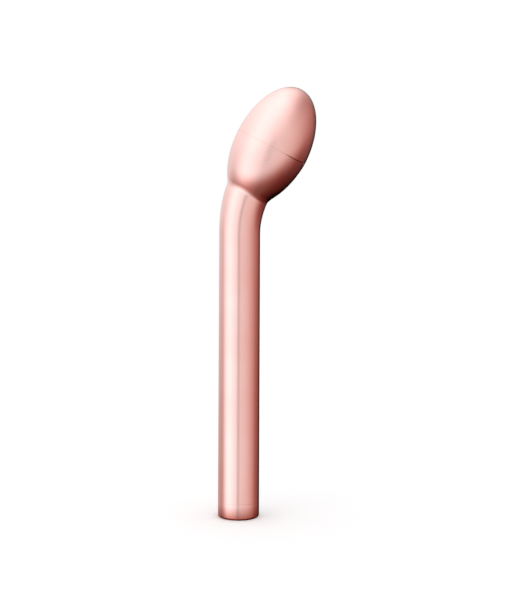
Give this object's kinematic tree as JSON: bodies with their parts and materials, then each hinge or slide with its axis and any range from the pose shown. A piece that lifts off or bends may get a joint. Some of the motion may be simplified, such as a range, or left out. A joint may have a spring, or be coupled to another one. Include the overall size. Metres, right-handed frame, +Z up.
{
  "type": "handheld vibrating massager wand",
  "caption": "Slim rose-gold plated massager wand that stands on its base, with a straight round handle, a bent neck and a smooth egg-shaped head.",
  "frame": {"origin": "Centre of the flat face on the base that the wand stands on, on the handle's axis.", "axes": "+Z up along the handle, +X the way the head leans, +Y by the right-hand rule."},
  "size_m": [0.0415, 0.032, 0.1864],
  "materials": {
    "rose_gold_plate": "gloss",
    "button_plate": "satin",
    "black_moulding": "matte",
    "white_moulding": "satin",
    "silicone": "matte",
    "steel": "satin",
    "brass": "satin",
    "copper": "gloss",
    "ferrite": "matte",
    "circuit_board": "satin",
    "chip_resin": "matte",
    "red_lead": "satin",
    "black_lead": "satin",
    "cell_jacket": "satin",
    "nickel": "gloss"
  },
  "bodies": {
    "wand": {"body_shell": "rose_gold_plate", "head_cap": "rose_gold_plate", "motor_damper": "silicone", "lower_cell_can": "cell_jacket", "lower_cell_cap": "nickel", "upper_cell_can": "cell_jacket", "upper_cell_cap": "nickel", "positive_contact": "brass", "contact_carrier": "black_moulding", "return_strip": "brass", "lead_red": "red_lead", "lead_black": "black_lead", "motor_cradle": "black_moulding", "motor_can": "steel", "end_bell": "white_moulding", "motor_terminals": "brass", "brushes": "copper", "front_bush": "copper", "rear_bush": "copper", "motor_magnets": "ferrite"},
    "cap_seal": {"cap_o_ring": "silicone"},
    "button": {"push_button": "button_plate", "switch_plunger": "white_moulding"},
    "rotor": {"motor_shaft": "steel", "armature_core": "steel", "armature_windings": "copper", "commutator": "copper", "eccentric_weight": "brass"},
    "cap": {"base_cap": "rose_gold_plate", "cap_contact_ring": "brass", "battery_spring": "nickel", "control_board": "circuit_board", "control_chip": "chip_resin", "drive_transistor": "chip_resin", "board_resistors": "chip_resin", "board_retainer": "black_moulding", "switch_body": "black_moulding", "button_seal": "silicone"}
  },
  "joints": [
    {"name": "cap_travel", "type": "slide", "parent": "wand", "child": "cap_seal", "axis": [0, 0, -1], "range_m": [0, 0.006]},
    {"name": "cap_twist", "type": "hinge", "parent": "cap_seal", "child": "cap", "pos_m": [0, 0, 0.0125], "axis": [0, 0, -1], "range_deg": [0, 720]},
    {"name": "button_press", "type": "slide", "parent": "cap", "child": "button", "axis": [0, 0, 1], "range_m": [0, 0.0005], "stiffness_N_per_m": 1000, "springref_m": -0.0015},
    {"name": "rotor_spin", "type": "hinge", "parent": "wand", "child": "rotor", "pos_m": [0.01351, 0, 0.16083], "axis": [0.4579, 0, 0.889], "continuous": true}
  ],
  "couplings": [
    {"joint": "cap_travel", "follows": "cap_twist", "m_per_rad": 0.0004774}
  ]
}
